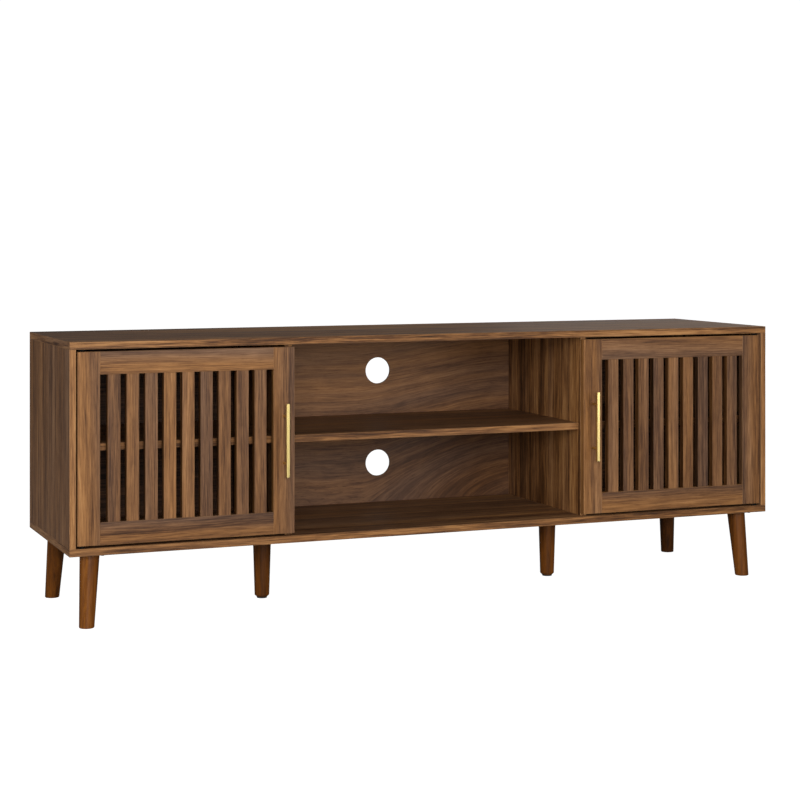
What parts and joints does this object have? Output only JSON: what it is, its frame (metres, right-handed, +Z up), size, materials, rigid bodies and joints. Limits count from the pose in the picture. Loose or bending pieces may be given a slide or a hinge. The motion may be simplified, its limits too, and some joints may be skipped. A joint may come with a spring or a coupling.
{
  "type": "television stand",
  "caption": "Low wide walnut television stand with an open shelf bay between cupboards with slatted doors, slim gold handles and splayed tapered legs.",
  "frame": {"origin": "on the floor, under the middle of the bounding box, handles included; the carcass is centred on X = 0 and its middle lies 13.25 mm behind the origin", "axes": "+X to the viewer's right along the length, +Y from the doors towards the back, +Z up"},
  "size_m": [1.6, 0.4264, 0.569],
  "materials": {
    "walnut_board": "walnut-look laminate on board, satin, fine straight grain",
    "walnut_back": "walnut-look laminate on thin board, horizontal figure",
    "walnut_door": "walnut-look laminate with each slat its own tone, satin",
    "leg_wood": "solid wood stained walnut, satin lacquer",
    "dowel_wood": "plain beech",
    "brass_handle": "satin gold",
    "zinc_steel": "bright zinc plated",
    "black_steel": "blackened steel",
    "black_plastic": "black, fine texture"
  },
  "bodies": {
    "cabinet": {"back_left_leg": "leg_wood", "back_right_leg": "leg_wood", "bottom_panel": "walnut_board", "cam_bolts": "zinc_steel", "cam_locks": "zinc_steel", "catch_magnets": "black_plastic", "center_back_panel": "walnut_back", "center_shelf": "walnut_board", "dowels": "dowel_wood", "front_left_leg": "leg_wood", "front_right_leg": "leg_wood", "left_back_panel": "walnut_back", "left_partition": "walnut_board", "left_pivot_pins": "black_steel", "left_shelf": "walnut_board", "left_side_panel": "walnut_board", "leg_bolts": "zinc_steel", "leg_plate_screws": "zinc_steel", "leg_plates": "zinc_steel", "middle_left_leg": "leg_wood", "middle_right_leg": "leg_wood", "right_back_panel": "walnut_back", "right_partition": "walnut_board", "right_pivot_pins": "black_steel", "right_shelf": "walnut_board", "right_side_panel": "walnut_board", "shelf_pins": "zinc_steel", "top_panel": "walnut_board"},
    "left_door": {"left_door_outer_stile": "walnut_door", "left_door_inner_stile": "walnut_door", "left_door_top_rail": "walnut_door", "left_door_bottom_rail": "walnut_door", "left_door_slats": "walnut_door", "left_handle_bar": "brass_handle", "left_handle_posts": "brass_handle", "left_handle_screws": "zinc_steel", "left_pivot_bushes": "black_plastic", "left_strike_discs": "zinc_steel"},
    "right_door": {"right_door_outer_stile": "walnut_door", "right_door_inner_stile": "walnut_door", "right_door_top_rail": "walnut_door", "right_door_bottom_rail": "walnut_door", "right_door_slats": "walnut_door", "right_handle_bar": "brass_handle", "right_handle_posts": "brass_handle", "right_handle_screws": "zinc_steel", "right_pivot_bushes": "black_plastic", "right_strike_discs": "zinc_steel"},
    "left_leveling_foot": {"left_leveler": "black_plastic"},
    "right_leveling_foot": {"right_leveler": "black_plastic"}
  },
  "joints": [
    {"name": "left_door_swing", "type": "hinge", "parent": "cabinet", "child": "left_door", "pos_m": [-0.774, -0.17925, 0.358], "axis": [0, 0, -1], "range_deg": [0, 117]},
    {"name": "right_door_swing", "type": "hinge", "parent": "cabinet", "child": "right_door", "pos_m": [0.774, -0.17925, 0.358], "axis": [0, 0, 1], "range_deg": [0, 117]},
    {"name": "left_foot_adjust", "type": "slide", "parent": "cabinet", "child": "left_leveling_foot", "axis": [0, 0, -1], "range_m": [0, 0.01]},
    {"name": "right_foot_adjust", "type": "slide", "parent": "cabinet", "child": "right_leveling_foot", "axis": [0, 0, -1], "range_m": [0, 0.01]}
  ]
}
